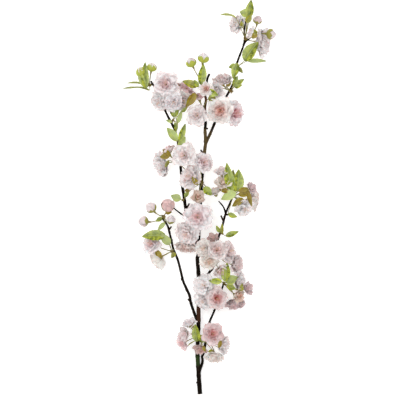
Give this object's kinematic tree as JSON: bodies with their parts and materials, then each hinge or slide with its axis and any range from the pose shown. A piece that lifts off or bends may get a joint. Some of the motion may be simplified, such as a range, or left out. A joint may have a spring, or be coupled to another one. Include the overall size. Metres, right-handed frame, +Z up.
{
  "type": "cherry blossom sprig",
  "caption": "Cut branch of double cherry in flower, lying down, with a forked woody stem, side twigs, clustered pink-white blooms, buds and young leaves",
  "frame": {"origin": "under the middle of the sprig's box, on the surface that it lies on", "axes": "+Y runs up the branch from its cut end, +X to its right seen from above, +Z up from the surface"},
  "size_m": [0.2734, 0.708, 0.0964],
  "materials": {
    "bark": "matt bark",
    "greenery": "soft leaf",
    "petals": "soft petal"
  },
  "bodies": {
    "root": {"bark": "bark", "bloom_left_arm_low_2": "petals", "bloom_left_arm_low_3": "petals", "bloom_left_arm_low_4": "petals", "bloom_left_arm_top_1": "petals", "bloom_left_arm_top_2": "petals", "bloom_left_arm_top_3": "petals", "bloom_left_arm_top_4": "petals", "bloom_left_arm_top_5": "petals", "bloom_left_twig_mid_1": "petals", "bloom_left_twig_mid_2": "petals", "bloom_low_twig_tip_1": "petals", "bloom_low_twig_tip_2": "petals", "bloom_middle_arm_mid_1": "petals", "bloom_middle_arm_tip_1": "petals", "bloom_right_arm_low_1": "petals", "bloom_right_arm_low_2": "petals", "bloom_right_arm_mid_1": "petals", "bloom_right_arm_tip_1": "petals", "bloom_right_arm_tip_3": "petals", "bloom_right_twig_low_1": "petals", "bloom_right_twig_low_2": "petals", "bloom_right_twig_low_3": "petals", "bloom_right_twig_low_4": "petals", "bloom_right_twig_low_5": "petals", "bloom_right_twig_tip_3": "petals", "bloom_right_twig_tip_4": "petals", "bloom_stem_high_1": "petals", "bloom_stem_low_4": "petals", "bloom_stem_low_5": "petals", "bloom_stem_low_6": "petals", "bloom_stem_mid_1": "petals", "bloom_stem_mid_2": "petals", "bloom_stem_mid_3": "petals", "bloom_stem_middle_1": "petals", "bloom_stem_middle_2": "petals", "bloom_stem_middle_3": "petals", "spray_left_arm_high": "greenery", "spray_left_arm_leaf": "greenery", "spray_left_arm_low": "greenery", "spray_left_arm_mid": "greenery", "spray_left_arm_tip": "greenery", "spray_left_arm_top": "greenery", "spray_left_twig_mid": "greenery", "spray_left_twig_tip": "greenery", "spray_low_twig_tip": "greenery", "spray_middle_arm_mid": "greenery", "spray_middle_arm_tip": "greenery", "spray_right_arm_high": "greenery", "spray_right_arm_low": "greenery", "spray_right_arm_mid": "greenery", "spray_right_arm_tip": "greenery", "spray_right_twig_low": "greenery", "spray_right_twig_mid": "greenery", "spray_right_twig_tip": "greenery", "spray_stem_high": "greenery", "spray_stem_low": "greenery", "spray_stem_mid": "greenery", "spray_stem_middle": "greenery"}
  },
  "joints": []
}
